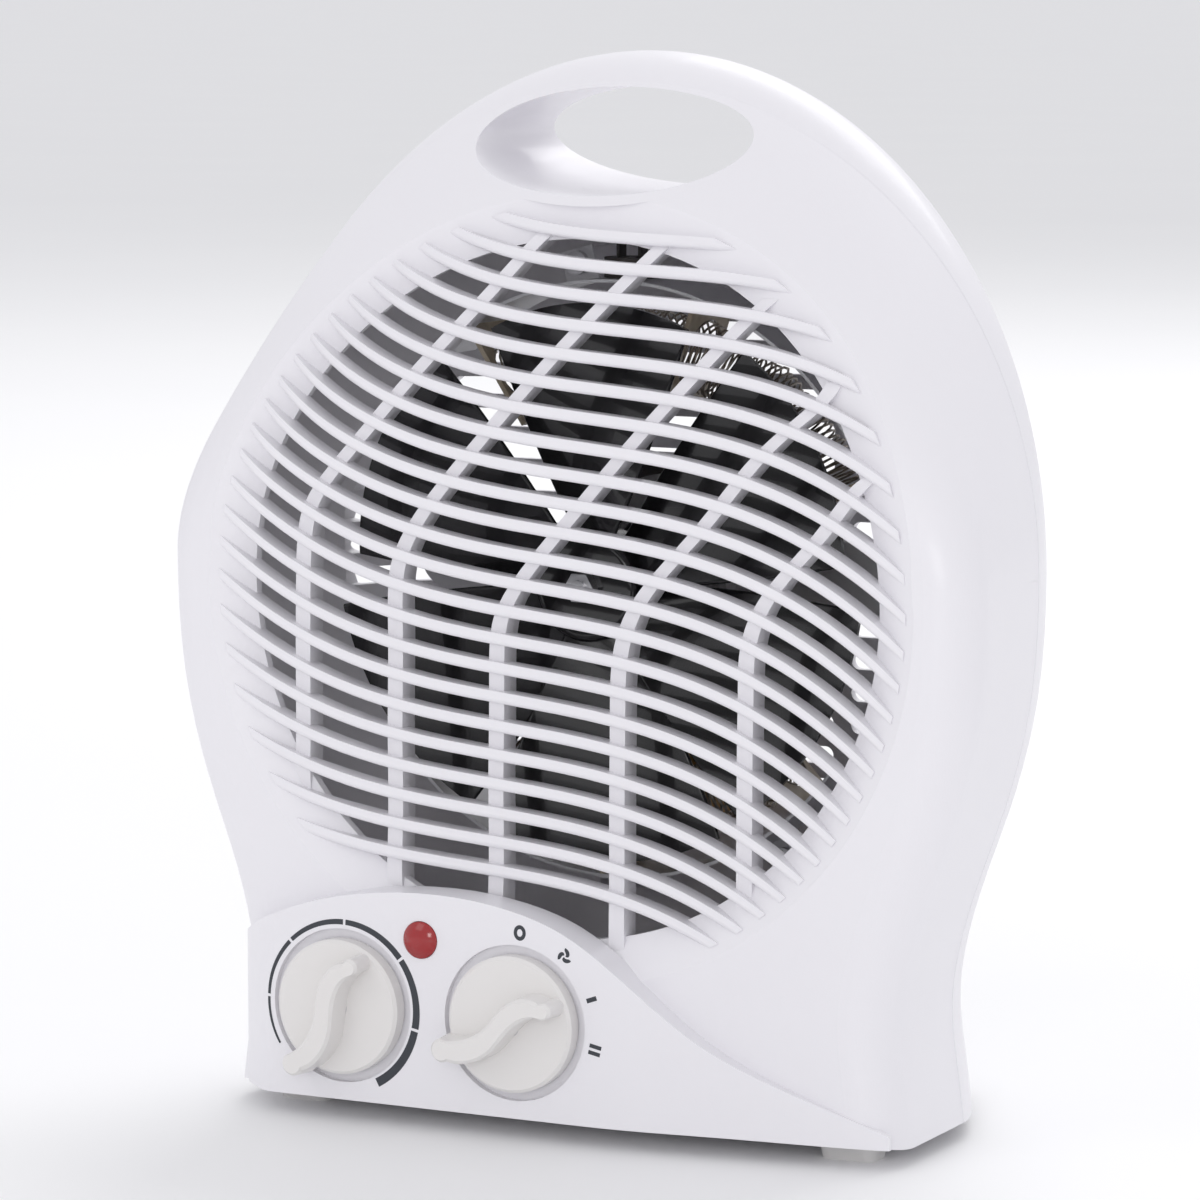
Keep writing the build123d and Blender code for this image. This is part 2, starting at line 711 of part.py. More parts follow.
# ================================================================ motor
front_bush_y = stack_front_y - bracket_thick - bracket_reach
rear_bush_y = stack_back_y + bracket_reach
finished["motor_shaft"] = cylinder_y(0, ring_z, axle_r, hub_front_y - nut_thick - 1, rear_bush_y + bracket_thick + 2)
finished["motor_rotor"] = cylinder_y(0, ring_z, rotor_r, stack_front_y - 0.5, stack_back_y + 0.5) - cylinder_y(
    0, ring_z, axle_r, stack_front_y - 2, stack_back_y + 2
)
limb_low = ring_z - stack_half - limb_drop
limb_thick = 9.0
with BuildPart() as motor_stack:
    with BuildSketch(at_y(stack_back_y)):
        with Locations((0, ring_z)):
            Rectangle(2 * stack_half, 2 * stack_half)
        with Locations((0, (limb_low + ring_z) / 2)):
            Rectangle(2 * stack_half - 8, ring_z - limb_low)
        with Locations((0, ring_z - stack_half - limb_drop / 2 + limb_thick / 2)):
            Rectangle(2 * stack_half - 8 - 2 * limb_thick, limb_drop - limb_thick, mode=Mode.SUBTRACT)
        with Locations((0, ring_z)):
            Circle(rotor_r + rotor_gap, mode=Mode.SUBTRACT)
        with Locations((0, ring_z)):
            with GridLocations(2 * stack_half - 10, 2 * stack_half - 10, 2, 2):
                Circle(screw_r, mode=Mode.SUBTRACT)
    extrude(amount=stack_depth)
finished["motor_stack"] = motor_stack.part
winding_grow = 5.0
with BuildPart() as motor_winding:
    with BuildSketch(Plane.YZ.offset(-stack_half + 14)):
        with Locations(((stack_front_y + stack_back_y) / 2, limb_low + limb_thick / 2)):
            RectangleRounded(stack_depth + 2 * winding_grow, limb_thick + 2 * winding_grow, 3)
            Rectangle(stack_depth, limb_thick, mode=Mode.SUBTRACT)
    extrude(amount=2 * stack_half - 28)
finished["motor_winding"] = motor_winding.part

bracket_half_z = 9.0
for side, stack_end, name in ((-1, stack_front_y - bracket_thick, "front"), (1, stack_back_y, "rear")):
    outer = stack_end + side * bracket_reach
    far = outer + side * bracket_thick
    foot = stack_end + side * bracket_thick
    with BuildPart() as bracket:
        with BuildSketch(Plane.XY.offset(ring_z - bracket_half_z)):
            with BuildLine():
                Polyline(
                    (-stack_half, stack_end),
                    (-stack_half, foot),
                    (-stack_half + 8, foot),
                    (-stack_half + 8, far),
                    (stack_half - 8, far),
                    (stack_half - 8, foot),
                    (stack_half, foot),
                    (stack_half, stack_end),
                    (stack_half - 8 - bracket_thick, stack_end),
                    (stack_half - 8 - bracket_thick, outer),
                    (-stack_half + 8 + bracket_thick, outer),
                    (-stack_half + 8 + bracket_thick, stack_end),
                    close=True,
                )
            make_face()
        extrude(amount=2 * bracket_half_z)
        add(cylinder_y(0, ring_z, bush_r, min(outer, far) - 1, max(outer, far) + 1), mode=Mode.SUBTRACT)
    finished[f"motor_bracket_{name}"] = bracket.part
    middle = (outer + far) / 2
    finished[f"motor_bush_{name}"] = cylinder_y(
        0, ring_z, bush_r, middle - bush_length / 2, middle + bush_length / 2
    ) - cylinder_y(0, ring_z, axle_r + axle_gap, middle - bush_length, middle + bush_length)

with BuildPart() as motor_strap:
    with BuildSketch(at_y(strap_y + bracket_thick)):
        with Locations((0, ring_z)):
            SlotOverall(2 * strap_half, 2 * bracket_half_z)
            Circle(stack_half - 4)
            Circle(rotor_r + 2, mode=Mode.SUBTRACT)
            with GridLocations(2 * motor_post_x, 1, 2, 1):
                Circle(screw_r, mode=Mode.SUBTRACT)
            with GridLocations(2 * stack_half - 10, 2 * stack_half - 10, 2, 2):
                Circle(screw_r, mode=Mode.SUBTRACT)
    extrude(amount=bracket_thick)
finished["motor_strap"] = motor_strap.part
finished["motor_strap_screws"] = group(
    screw(side * motor_post_x, ring_z, strap_y, strap_y + 10, 2.0) for side in (-1, 1)
)

# ================================================================ heater
board_angles = {"upper": (22.0, 72.0, 123.0), "lower": (-138.0, -92.0, -47.0)}


def coil_arc(first, last, radius):
    """Round rod bent along the coil's middle circle, from one angle to another."""
    with BuildPart() as part:
        x, z = round_place(coil_major, first)
        turn = math.radians(first)
        start = Plane((x, coil_y, z), x_dir=(math.cos(turn), 0, math.sin(turn)), z_dir=(-math.sin(turn), 0, math.cos(turn)))
        with BuildSketch(start):
            Circle(radius)
        revolve(axis=Axis((0, 0, ring_z), (0, -1, 0)), revolution_arc=last - first)
    return part.part


def guide_band(first, last):
    """Sheet-metal band behind the rim of a coil, with the two tabs that screw to the rear housing."""
    with BuildPart() as part:
        with BuildSketch(at_y(guide_back_y)):
            with BuildLine():
                outer = CenterArc((0, ring_z), guide_r + guide_thick, first, last - first)
                inner = CenterArc((0, ring_z), guide_r, first, last - first)
                Line(outer @ 0, inner @ 0)
                Line(outer @ 1, inner @ 1)
            make_face()
        extrude(amount=2 * board_half_depth)
    return part.part


for half, (first, last) in coil_spans.items():
    finished[f"heating_coil_{half}"] = coil_arc(first, last, coil_minor)
    boards = []
    for angle in board_angles[half]:
        with BuildPart() as board:
            turn = math.radians(angle)
            low = coil_major - coil_minor - 4
            middle = (low + guide_r) / 2
            centre = (middle * math.cos(turn), coil_y, ring_z + middle * math.sin(turn))
            flat = Plane(centre, x_dir=(math.cos(turn), 0, math.sin(turn)), z_dir=(-math.sin(turn), 0, math.cos(turn)))
            with BuildSketch(flat):
                Rectangle(guide_r - low, 2 * board_half_depth)
            extrude(amount=board_thick / 2, both=True)
            add(coil_arc(first - 4, last + 4, coil_minor + coil_slot_gap), mode=Mode.SUBTRACT)
        boards.append(board.part)
    finished[f"coil_boards_{half}"] = group(boards)
    with BuildPart() as guide:
        add(guide_band(*guide_spans[half]))
        for angle in guide_posts[half]:
            x, z = round_place(guide_post_r, angle)
            turn = math.radians(angle)
            across = (-math.sin(turn), 0, math.cos(turn))
            tab_plane = Plane((0, guide_back_y + guide_thick, ring_z), x_dir=(math.cos(turn), 0, math.sin(turn)), z_dir=(0, -1, 0))
            with BuildSketch(tab_plane):
                with Locations(((guide_r + guide_post_r + post_r) / 2, 0)):
                    Rectangle(guide_post_r + post_r - guide_r, 2 * post_r + 2)
                with Locations((guide_post_r, 0)):
                    Circle(screw_r, mode=Mode.SUBTRACT)
            extrude(amount=guide_thick)
    finished[f"heater_guide_{half}"] = guide.part
finished["heater_screws"] = group(
    screw(*round_place(guide_post_r, angle), guide_back_y, guide_back_y + 9, 2.0)
    for angles in guide_posts.values()
    for angle in angles
)

cutout_r = 7.0
cutout_height = 5.0
with BuildPart() as thermal_cutout:
    with BuildSketch(Plane.XY.offset(ring_z + guide_r + guide_thick)):
        with Locations((0, coil_y)):
            Circle(cutout_r)
    extrude(amount=cutout_height)
    with BuildSketch(Plane.XY.offset(ring_z + guide_r + guide_thick + cutout_height)):
        with Locations((0, coil_y)):
            with GridLocations(6, 1, 2, 1):
                Rectangle(0.8, 4)
    extrude(amount=4)
    add(cylinder_y(0, ring_z, guide_r + guide_thick, coil_y - 20, coil_y + 20), mode=Mode.SUBTRACT)
finished["thermal_cutout"] = thermal_cutout.part
with BuildPart() as thermal_fuse:
    with BuildSketch(Plane.YZ.offset(-8)):
        with Locations((coil_y, ring_z - guide_r - guide_thick - 2.2)):
            Circle(1.9)
    extrude(amount=16)
finished["thermal_fuse"] = thermal_fuse.part

# ================================================================ supply: gland and terminal block
with BuildPart() as cord_gland:
    add(cylinder_y(gland_x, gland_z, gland_r, back_inner_y, rear_y))
    add(cylinder_y(gland_x, gland_z, gland_r + 2, rear_y, rear_y + gland_proud))
    add(cylinder_y(gland_x, gland_z, gland_r + 1.5, back_inner_y - 2.5, back_inner_y))
    fillet(cord_gland.edges().filter_by(GeomType.CIRCLE).group_by(Axis.Y)[-1], 0.8)
    add(cylinder_y(gland_x, gland_z, gland_bore_r, back_inner_y - 4, rear_y + gland_proud + 1), mode=Mode.SUBTRACT)
finished["cord_gland"] = cord_gland.part
block_ways = 3
with BuildPart() as terminal_block:
    for way in range(block_ways):
        add(box_between((-30 + way * 9, 22, floor_z), (-21 + way * 9, 36, floor_z + 11)))
        add(cylinder_y(-25.5 + way * 9, floor_z + 4.5, 2.2, 20, 38), mode=Mode.SUBTRACT)
finished["terminal_block"] = terminal_block.part

# ================================================================ housing screws and feet
housing_head_y = seam_y + 8
finished["housing_screws"] = group(
    screw(x, z, housing_head_y, seam_y - 10, 2.2, toward=-1) for x, z, reach in joint_posts
)
foot_places = {
    "front_left": (-76.0, -27.0),
    "front_right": (76.0, -27.0),
    "rear_left": (-58.0, 40.0),
    "rear_right": (58.0, 40.0),
}
foot_length = 16.0
foot_width = 11.0
for name, (x, y) in foot_places.items():
    with BuildPart() as foot:
        with BuildSketch(Plane.XY.offset(foot_height)):
            with Locations((x, y)):
                RectangleRounded(foot_length, foot_width, 3.5)
        extrude(amount=-foot_height, taper=12)
    finished[f"foot_{name}"] = foot.part

# ================================================================ files
os.makedirs("parts", exist_ok=True)
for name, piece in finished.items():
    piece.label = name
    export_step(piece, f"parts/{name}.step")
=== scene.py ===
"""Looks of a fan convector heater: studio, finishes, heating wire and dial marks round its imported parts."""

import json
import logging
import math
from dataclasses import dataclass, field
from enum import Enum
from typing import Callable

import bpy
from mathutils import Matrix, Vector

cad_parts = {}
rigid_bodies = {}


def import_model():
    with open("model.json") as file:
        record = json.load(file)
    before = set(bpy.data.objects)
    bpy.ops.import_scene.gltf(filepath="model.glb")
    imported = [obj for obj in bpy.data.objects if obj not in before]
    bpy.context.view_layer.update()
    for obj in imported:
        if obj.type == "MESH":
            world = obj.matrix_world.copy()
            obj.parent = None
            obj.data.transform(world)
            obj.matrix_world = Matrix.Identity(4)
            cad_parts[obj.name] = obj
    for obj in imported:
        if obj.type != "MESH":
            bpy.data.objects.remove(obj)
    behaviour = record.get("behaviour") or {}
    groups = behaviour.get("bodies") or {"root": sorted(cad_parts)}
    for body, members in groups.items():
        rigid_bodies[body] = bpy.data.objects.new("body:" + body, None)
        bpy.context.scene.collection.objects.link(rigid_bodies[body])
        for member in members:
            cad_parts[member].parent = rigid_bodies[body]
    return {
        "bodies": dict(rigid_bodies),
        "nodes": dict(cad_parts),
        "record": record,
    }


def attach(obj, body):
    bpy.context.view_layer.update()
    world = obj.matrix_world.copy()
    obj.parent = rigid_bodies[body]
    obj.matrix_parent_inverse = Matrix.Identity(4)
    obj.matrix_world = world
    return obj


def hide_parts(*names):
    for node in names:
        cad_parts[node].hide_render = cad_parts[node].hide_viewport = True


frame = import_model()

LOG = logging.getLogger("heater")
MM = 0.001

Colour = tuple[float, float, float]
Place = tuple[float, float, float]


class Pattern(Enum):
    """What breaks up a finish: the fine surface detail of its material."""

    MOULDED = "moulded"
    BRUSHED = "brushed"
    ENAMEL = "enamel"
    FLAKED = "flaked"
    STACKED = "stacked"
    WOUND = "wound"
    HEATED = "heated"
    CLEAR = "clear"


class Axis(Enum):
    """Axis across which bands run."""

    X = "X"
    Y = "Y"


# ---------------------------------------------------------------- shader building
class Maths:
    """A number carried by a shader socket, with Python operators that add Math nodes."""

    def __init__(self, shader: "Shader", socket: bpy.types.NodeSocket) -> None:
        """Wrap a socket of a shader's tree."""
        self.shader = shader
        self.socket = socket

    def _join(self, operation: str, first: object, second: object) -> "Maths":
        """Add one Math node.

        Args:
            operation: the Math node's operation.
            first: left-hand value.
            second: right-hand value.

        Returns:
            The node's result.
        """
        node = self.shader.node("ShaderNodeMath", {"operation": operation}, {0: first, 1: second})
        return Maths(self.shader, node.outputs[0])

    def __add__(self, other: object) -> "Maths":
        """Sum."""
        return self._join("ADD", self, other)

    def __mul__(self, other: object) -> "Maths":
        """Product."""
        return self._join("MULTIPLY", self, other)

    def __sub__(self, other: object) -> "Maths":
        """Difference."""
        return self._join("SUBTRACT", self, other)

    def __rsub__(self, other: object) -> "Maths":
        """Difference with the value on the right."""
        return self._join("SUBTRACT", other, self)

    __radd__ = __add__
    __rmul__ = __mul__


class Shader:
    """Builds one node material."""

    def __init__(self, name: str) -> None:
        """Start an empty material with a Principled shader."""
        self.material = bpy.data.materials.new(name)
        self.material.use_nodes = True
        self.tree = self.material.node_tree
        self.tree.nodes.clear()
        output = self.tree.nodes.new("ShaderNodeOutputMaterial")
        self.surface = self.tree.nodes.new("ShaderNodeBsdfPrincipled")
        self.tree.links.new(self.surface.outputs[0], output.inputs[0])
        self.place = self.node("ShaderNodeTexCoord", {}, {}).outputs["Object"]

    def node(self, kind: str, settings: dict, values: dict) -> bpy.types.Node:
        """Add a node of any kind.

        Args:
            kind: the node's type name.
            settings: attributes that are set first.
            values: socket name or number to a value, a socket or a Maths.

        Returns:
            The new node.
        """
        node = self.tree.nodes.new(kind)
        for key, value in settings.items():
            setattr(node, key, value)
        for key, value in values.items():
            self._feed(node.inputs[key], value)
        return node

    def _feed(self, entry: bpy.types.NodeSocket, value: object) -> None:
        """Give an input socket a constant or a link.

        Args:
            entry: the input socket.
            value: a number, a colour, a socket or a Maths.
        """
        if isinstance(value, Maths):
            value = value.socket
        if isinstance(value, bpy.types.NodeSocket):
            self.tree.links.new(value, entry)
        else:
            entry.default_value = value

    def set(self, name: str, value: object) -> None:
        """Feed one named input of the Principled shader."""
        self._feed(self.surface.inputs[name], value)

    def stretched(self, scale: Place) -> bpy.types.NodeSocket:
        """Object coordinates scaled by a factor along each axis."""
        return self.node("ShaderNodeMapping", {}, {"Vector": self.place, "Scale": scale}).outputs[0]

    def noise(
        self, scale: float, detail: float = 3.0, place: bpy.types.NodeSocket | None = None
    ) -> Maths:
        """Smooth noise.

        Args:
            scale: how many spots there are in a metre.
            detail: how many finer layers are added.
            place: coordinates to read, Object coordinates if left out.

        Returns:
            A number from 0 to 1.
        """
        values = {"Vector": place or self.place, "Scale": scale, "Detail": detail}
        return Maths(self, self.node("ShaderNodeTexNoise", {}, values).outputs["Fac"])

    def cells(self, scale: float) -> Maths:
        """Distance from the nearest centre of random cells."""
        values = {"Vector": self.place, "Scale": scale}
        node = self.node("ShaderNodeTexVoronoi", {"feature": "F1"}, values)
        return Maths(self, node.outputs["Distance"])

    def bands(self, axis: Axis, scale: float) -> Maths:
        """Slightly uneven bands across one axis.

        Args:
            axis: the axis the bands are stacked along.
            scale: how dense they are.

        Returns:
            A number from 0 to 1.
        """
        settings = {"wave_type": "BANDS", "bands_direction": axis.value}
        values = {"Vector": self.place, "Scale": scale, "Distortion": 0.4}
        return Maths(self, self.node("ShaderNodeTexWave", settings, values).outputs["Fac"])

    def ramp(self, value: Maths, low: float, high: float) -> Maths:
        """The value spread so that low becomes 0 and high becomes 1, clamped."""
        values = {"Value": value, "From Min": low, "From Max": high, "To Min": 0.0, "To Max": 1.0}
        return Maths(self, self.node("ShaderNodeMapRange", {}, values).outputs[0])

    def blend(self, share: Maths, first: Colour, second: Colour) -> bpy.types.NodeSocket:
        """Mix two colours by a share.

        Args:
            share: 0 for the first colour, 1 for the second.
            first: first colour.
            second: second colour.

        Returns:
            The mixed colour's socket.
        """
        values = {0: share, 6: (*first, 1.0), 7: (*second, 1.0)}
        return self.node("ShaderNodeMix", {"data_type": "RGBA"}, values).outputs[2]

    def bump(self, height: Maths, strength: float, distance: float) -> None:
        """Raise the surface by a height pattern.

        Args:
            height: the pattern.
            strength: share of the full effect.
            distance: height of the pattern in metres.
        """
        values = {"Height": height, "Strength": strength, "Distance": distance}
        self.set("Normal", self.node("ShaderNodeBump", {}, values).outputs[0])


# ---------------------------------------------------------------- finishes
@dataclass(frozen=True)
class Finish:
    """One finish of the heater: colour, gloss and fine pattern.

    `shade` is the second colour that the pattern brings in. Left out, it is a slightly darker `colour`.
    """

    name: str
    colour: Colour
    pattern: Pattern
    shade: Colour | None = None
    roughness: float = 0.4
    metallic: float = 0.0
    coat: float = 0.0
    darker: float = 0.93

    def material(self) -> bpy.types.Material:
        """Build the finish's material.

        Returns:
            A node material with its colour, roughness and bump varied over the surface.
        """
        surfaces: dict[Pattern, Callable[[Shader, Maths], Maths]] = {
            Pattern.MOULDED: self._moulded,
            Pattern.BRUSHED: self._brushed,
            Pattern.ENAMEL: self._enamel,
            Pattern.FLAKED: self._flaked,
            Pattern.STACKED: self._stacked,
            Pattern.WOUND: self._wound,
            Pattern.HEATED: self._heated,
            Pattern.CLEAR: self._clear,
        }
        shader = Shader(self.name)
        shader.set("Metallic", self.metallic)
        shader.set("Coat Weight", self.coat)
        cloud = shader.noise(scale=28.0, detail=4.0)
        share = surfaces[self.pattern](shader, cloud)
        shade = self.shade or tuple(part * self.darker for part in self.colour)
        shader.set("Base Color", shader.blend(share, self.colour, shade))
        return shader.material

    def _moulded(self, shader: Shader, cloud: Maths) -> Maths:
        """Injection-moulded plastic: fine grain over slow waves.

        Args:
            shader: the shader to dress.
            cloud: slow noise.

        Returns:
            The share of the second colour.
        """
        grain = shader.noise(scale=2600.0, detail=2.0)
        waves = shader.noise(scale=55.0, detail=2.0)
        shader.set("Roughness", waves * 0.10 + (self.roughness - 0.05))
        shader.set("IOR", 1.49)
        shader.bump(grain * 0.35 + waves, strength=0.12, distance=0.0004)
        return cloud

    def _brushed(self, shader: Shader, cloud: Maths) -> Maths:
        """Plated or drawn metal: fine lines along X.

        Args:
            shader: the shader to dress.
            cloud: slow noise.

        Returns:
            The share of the second colour.
        """
        lines = shader.noise(scale=900.0, place=shader.stretched((0.04, 1.0, 1.0)))
        shader.set("Roughness", lines * 0.25 + (self.roughness - 0.1))
        shader.bump(lines, strength=0.15, distance=0.0001)
        return cloud

    def _enamel(self, shader: Shader, cloud: Maths) -> Maths:
        """Gloss enamel with a little orange peel.

        Args:
            shader: the shader to dress.
            cloud: slow noise.

        Returns:
            The share of the second colour.
        """
        shader.set("Roughness", shader.noise(scale=60.0) * 0.12 + (self.roughness - 0.05))
        shader.bump(shader.noise(scale=420.0, detail=2.0), strength=0.08, distance=0.0003)
        return cloud

    def _flaked(self, shader: Shader, cloud: Maths) -> Maths:
        """Pressed mica: small overlapping flakes.

        Args:
            shader: the shader to dress.
            cloud: slow noise.

        Returns:
            The share of the second colour.
        """
        flake = shader.cells(scale=420.0)
        shader.set("Roughness", flake * 0.4 + (self.roughness - 0.15))
        shader.bump(flake, strength=0.2, distance=0.0002)
        return shader.ramp(flake * 0.6 + cloud * 0.5, low=0.2, high=0.8)

    def _stacked(self, shader: Shader, _cloud: Maths) -> Maths:
        """Stacked sheet steel: thin layers along the depth.

        Args:
            shader: the shader to dress.
            _cloud: slow noise, left out by this pattern.

        Returns:
            The share of the second colour.
        """
        sheets = shader.bands(Axis.Y, scale=620.0)
        shader.set("Roughness", sheets * 0.2 + self.roughness)
        shader.bump(sheets, strength=0.3, distance=0.0002)
        return shader.ramp(sheets, low=0.35, high=0.65)

    def _wound(self, shader: Shader, cloud: Maths) -> Maths:
        """Varnished winding: rounded turns side by side.

        Args:
            shader: the shader to dress.
            cloud: slow noise.

        Returns:
            The share of the second colour.
        """
        turns = shader.bands(Axis.X, scale=700.0)
        shader.set("Roughness", turns * 0.15 + self.roughness)
        shader.bump(turns, strength=0.5, distance=0.0003)
        return cloud

    def _heated(self, shader: Shader, _cloud: Maths) -> Maths:
        """Oxidised metal: uneven scale.

        Args:
            shader: the shader to dress.
            _cloud: slow noise, left out by this pattern.

        Returns:
            The share of the second colour.
        """
        scale = shader.noise(scale=260.0, detail=5.0)
        shader.set("Roughness", scale * 0.3 + (self.roughness - 0.1))
        shader.bump(scale, strength=0.2, distance=0.0001)
        return shader.ramp(scale, low=0.35, high=0.65)

    def _clear(self, shader: Shader, cloud: Maths) -> Maths:
        """Polished clear plastic or glass.

        Args:
            shader: the shader to dress.
            cloud: slow noise.

        Returns:
            The share of the second colour.
        """
        ripple = shader.noise(scale=160.0, detail=1.0)
        shader.set("Roughness", ripple * 0.05 + self.roughness)
        shader.set("Transmission Weight", 0.35)
        shader.bump(ripple, strength=0.05, distance=0.0002)
        return cloud


FINISHES = {
    finish.name: finish
    for finish in (
        Finish(
            "housing_plastic", (0.845, 0.835, 0.865), Pattern.MOULDED, (0.825, 0.812, 0.845), 0.38, coat=0.12
        ),
        Finish("knob_plastic", (0.80, 0.785, 0.77), Pattern.MOULDED, (0.78, 0.76, 0.745), 0.3, coat=0.2),
        Finish("shaft_steel", (0.6, 0.6, 0.62), Pattern.BRUSHED, roughness=0.3, metallic=1.0),
        Finish("bakelite", (0.05, 0.045, 0.045), Pattern.MOULDED, (0.07, 0.06, 0.055), 0.55),
        Finish("screw_steel", (0.66, 0.66, 0.68), Pattern.BRUSHED, roughness=0.32, metallic=1.0),
        Finish("red_lens", (0.55, 0.008, 0.012), Pattern.CLEAR, (0.42, 0.004, 0.008), 0.12, coat=0.6),
        Finish("neon_glass", (0.9, 0.6, 0.5), Pattern.CLEAR, roughness=0.08),
        Finish("black_blades", (0.008, 0.008, 0.010), Pattern.ENAMEL, (0.014, 0.013, 0.014), 0.22, coat=0.5),
        Finish("lamination_steel", (0.3, 0.3, 0.32), Pattern.STACKED, (0.16, 0.15, 0.15), 0.4, metallic=1.0),
        Finish("winding_wrap", (0.62, 0.4, 0.14), Pattern.WOUND, (0.5, 0.3, 0.1), 0.45, coat=0.3),
        Finish("bracket_steel", (0.80, 0.80, 0.82), Pattern.BRUSHED, roughness=0.5, metallic=0.6),
        Finish("bush_bronze", (0.5, 0.33, 0.15), Pattern.HEATED, (0.42, 0.27, 0.12), 0.45, metallic=1.0),
        Finish("heating_wire", (0.46, 0.42, 0.37), Pattern.HEATED, (0.24, 0.19, 0.15), 0.35, metallic=0.85),
        Finish("mica", (0.42, 0.34, 0.24), Pattern.FLAKED, (0.56, 0.49, 0.38), 0.5, coat=0.2),
        Finish("fuse_body", (0.7, 0.7, 0.72), Pattern.BRUSHED, roughness=0.3, metallic=1.0),
        Finish("gland_plastic", (0.78, 0.77, 0.76), Pattern.MOULDED, roughness=0.5),
        Finish("foot_rubber", (0.74, 0.73, 0.72), Pattern.MOULDED, (0.68, 0.67, 0.66), 0.6),
        Finish("dial_print", (0.03, 0.035, 0.045), Pattern.MOULDED, (0.045, 0.05, 0.06), 0.5),
    )
}


class Wardrobe:
    """Keeps one material for each finish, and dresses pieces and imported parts."""

    made: dict[str, bpy.types.Material] = {}

    @classmethod
    def of(cls, name: str) -> bpy.types.Material:
        """The material of a finish, built once."""
        if name not in cls.made:
            cls.made[name] = FINISHES[name].material()
        return cls.made[name]

    @classmethod
    def dress(cls, thing: bpy.types.Object, name: str) -> None:
        """Give an object one finish all over."""
        thing.data.materials.clear()
        thing.data.materials.append(cls.of(name))

    @classmethod
    def dress_frame(cls) -> None:
        """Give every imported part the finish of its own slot."""
        slots = {entry["node"]: entry["material_slot"] for entry in frame["record"]["subparts"]}
        for node, thing in frame["nodes"].items():
            cls.dress(thing, slots[node])
        LOG.info("%d parts dressed", len(slots))


# ---------------------------------------------------------------- studio
@dataclass(frozen=True)
class SoftLight:
    """One square light that faces the heater."""

    name: str
    place: Place
    side: float
    watts: float
    colour: Colour = (1.0, 1.0, 1.0)
    aim: Place = (0.0, 0.0, 0.13)

    def add(self) -> None:
        """Put the light in the scene."""
        data = bpy.data.lights.new(self.name, "AREA")
        data.size = self.side
        data.energy = self.watts
        data.color = self.colour
        light = bpy.data.objects.new(self.name, data)
        bpy.context.scene.collection.objects.link(light)
        light.location = self.place
        away = Vector(self.place) - Vector(self.aim)
        light.rotation_euler = away.to_track_quat("Z", "Y").to_euler()


@dataclass
class Studio:
    """Camera, floor, sky and lights."""

    azimuth: float = 27.0
    elevation: float = 7.0
    distance: float = 1.327
    lens: float = 158.0
    sensor: float = 36.0
    near: float = 0.05
    aim: Place = (-0.0070, 0.0, 0.1289)
    floor_side: float = 400.0
    floor_colours: tuple[Colour, Colour] = ((0.90, 0.90, 0.905), (0.92, 0.92, 0.92))
    floor_roughness: float = 0.6
    sky_colour: Colour = (0.97, 0.97, 1.0)
    sky_strength: float = 0.82
    lights: tuple[SoftLight, ...] = (
        SoftLight("key", (-0.75, -1.35, 1.25), 0.9, 2.0, (1.0, 0.99, 0.98)),
        SoftLight("front", (0.45, -1.25, 0.40), 0.35, 1.8, (1.0, 0.99, 0.98)),
        SoftLight("back", (0.0, 1.9, 2.2), 2.0, 30.0),
    )

    def camera(self) -> None:
        """Set the scene's camera."""
        turn = math.radians(self.azimuth)
        rise = math.radians(self.elevation)
        away = Vector((math.sin(turn) * math.cos(rise), -math.cos(turn) * math.cos(rise), math.sin(rise)))
        data = bpy.data.cameras.new("camera")
        data.lens = self.lens
        data.sensor_width = self.sensor
        data.clip_start = self.near
        camera = bpy.data.objects.new("camera", data)
        bpy.context.scene.collection.objects.link(camera)
        camera.location = Vector(self.aim) + away * self.distance
        camera.rotation_euler = (-away).to_track_quat("-Z", "Y").to_euler()
        bpy.context.scene.camera = camera

    def floor(self) -> None:
        """Lay a wide pale floor."""
        deselect()
        bpy.ops.mesh.primitive_plane_add(size=self.floor_side, location=(0, 0, 0))
        floor = bpy.context.object
        floor.name = "floor"
        shader = Shader("pale_floor")
        shader.set("Base Color", shader.blend(shader.noise(scale=3.0), *self.floor_colours))
        shader.set("Roughness", self.floor_roughness)
        floor.data.materials.append(shader.material)

    def sky(self) -> None:
        """Fill the world with one pale colour."""
        world = bpy.data.worlds.new("studio")
        world.use_nodes = True
        background = world.node_tree.nodes["Background"]
        background.inputs["Color"].default_value = (*self.sky_colour, 1.0)
        background.inputs["Strength"].default_value = self.sky_strength
        bpy.context.scene.world = world

    def build(self) -> None:
        """Set camera, floor, sky and lights."""
        self.camera()
        self.floor()
        self.sky()
        for light in self.lights:
            light.add()
        bpy.context.scene.view_settings.view_transform = "Standard"
        LOG.info("studio ready")


# ---------------------------------------------------------------- helpers for new pieces
def clear_start_up() -> None:
    """Remove what a new file starts with, and keep only the frame."""
    kept = set(frame["nodes"].values()) | set(frame["bodies"].values())
    for thing in list(bpy.data.objects):
        if thing not in kept:
            bpy.data.objects.remove(thing)


def deselect() -> None:
    """Leave nothing selected, in object mode."""
    if bpy.context.object and bpy.context.object.mode != "OBJECT":
        bpy.ops.object.mode_set(mode="OBJECT")
    bpy.ops.object.select_all(action="DESELECT")


def settle(piece: bpy.types.Object, finish: str, body: str) -> None:
    """Apply a new piece's place, dress it and let it ride on a body.

    Args:
        piece: the finished mesh object.
        finish: name of its finish.
        body: name of the body that carries it.
    """
    deselect()
    piece.select_set(True)
    bpy.context.view_layer.objects.active = piece
    bpy.ops.object.transform_apply(location=True, rotation=True, scale=True)
    Wardrobe.dress(piece, finish)
    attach(piece, body)
    LOG.info("%s: %d faces", piece.name, len(piece.data.polygons))


